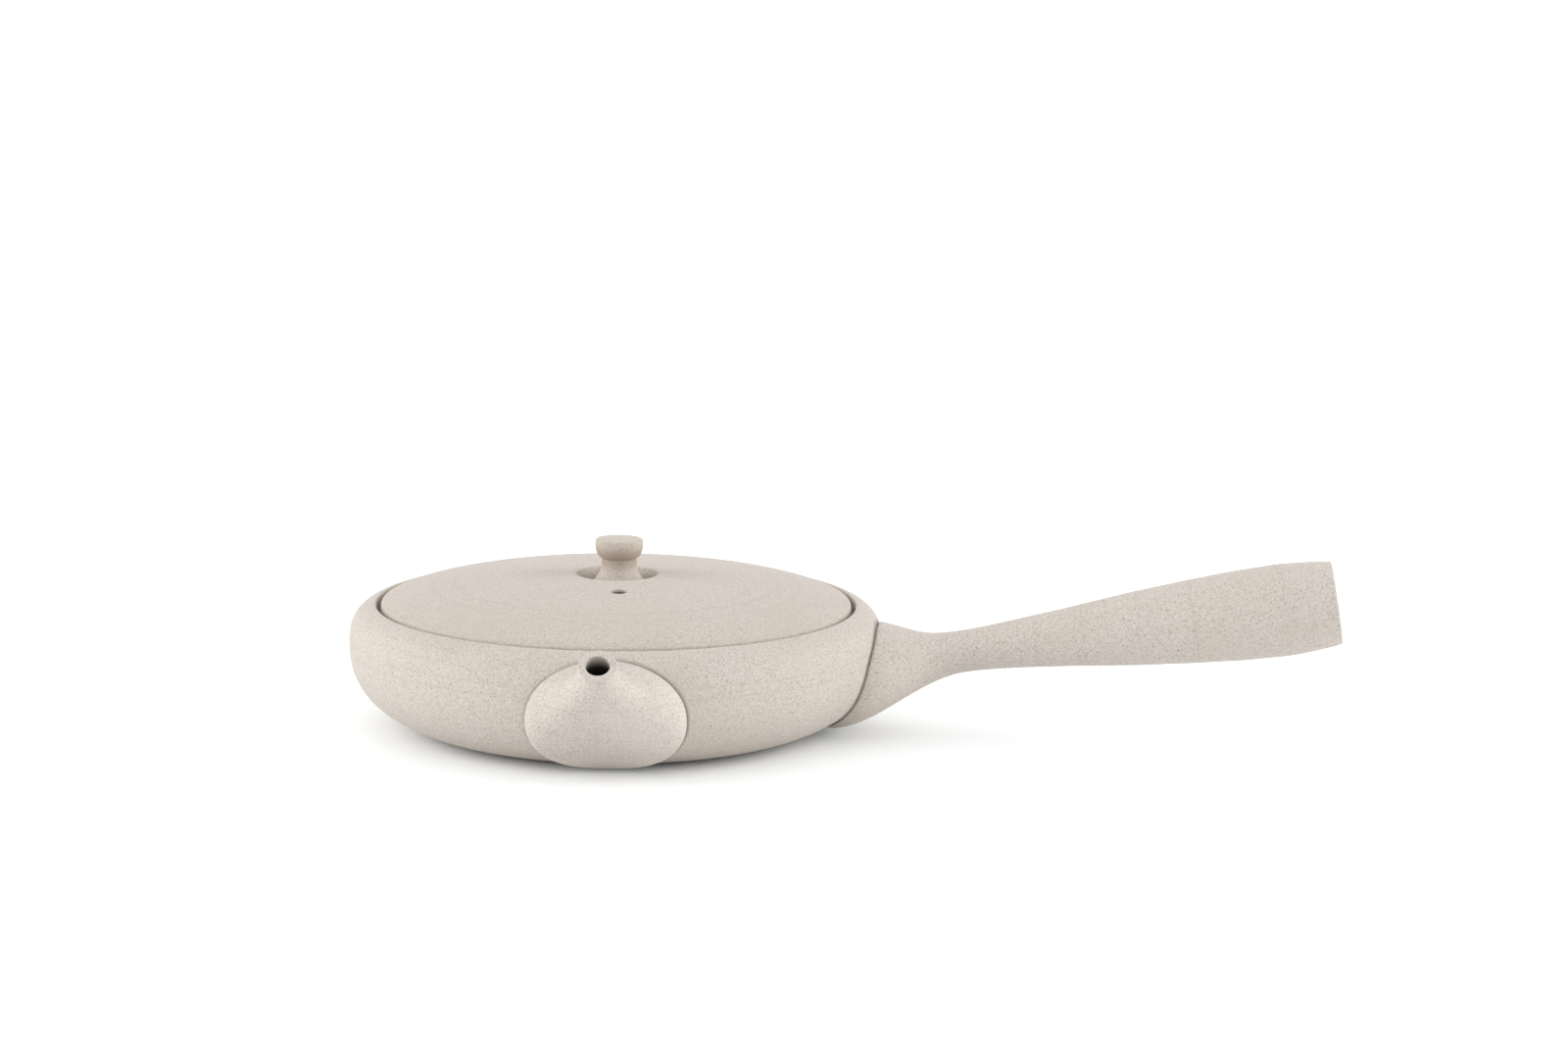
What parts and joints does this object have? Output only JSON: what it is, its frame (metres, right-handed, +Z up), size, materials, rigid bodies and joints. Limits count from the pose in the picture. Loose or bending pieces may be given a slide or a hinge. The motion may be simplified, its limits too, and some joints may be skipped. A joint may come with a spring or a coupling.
{
  "type": "side-handled teapot",
  "caption": "Flat unglazed clay teapot with a straight side handle, short trumpet spout, pierced inner strainer and domed lift-off lid.",
  "frame": {"origin": "centre of the flat base, on the body's turning axis, at the level that the pot stands on", "axes": "+X along the handle, -Y along the spout, +Z up through the knob"},
  "size_m": [0.2466, 0.153, 0.0474],
  "materials": {
    "clay": "matt",
    "clay_inside": "matt"
  },
  "bodies": {
    "pot": {"pot_body": "clay", "spout": "clay", "strainer": "clay_inside", "handle": "clay"},
    "lid": {"lid": "clay", "knob": "clay"}
  },
  "joints": [
    {"name": "lid_lift", "type": "slide", "parent": "pot", "child": "lid", "axis": [0, 0, 1], "range_m": [0, 0.08]}
  ]
}
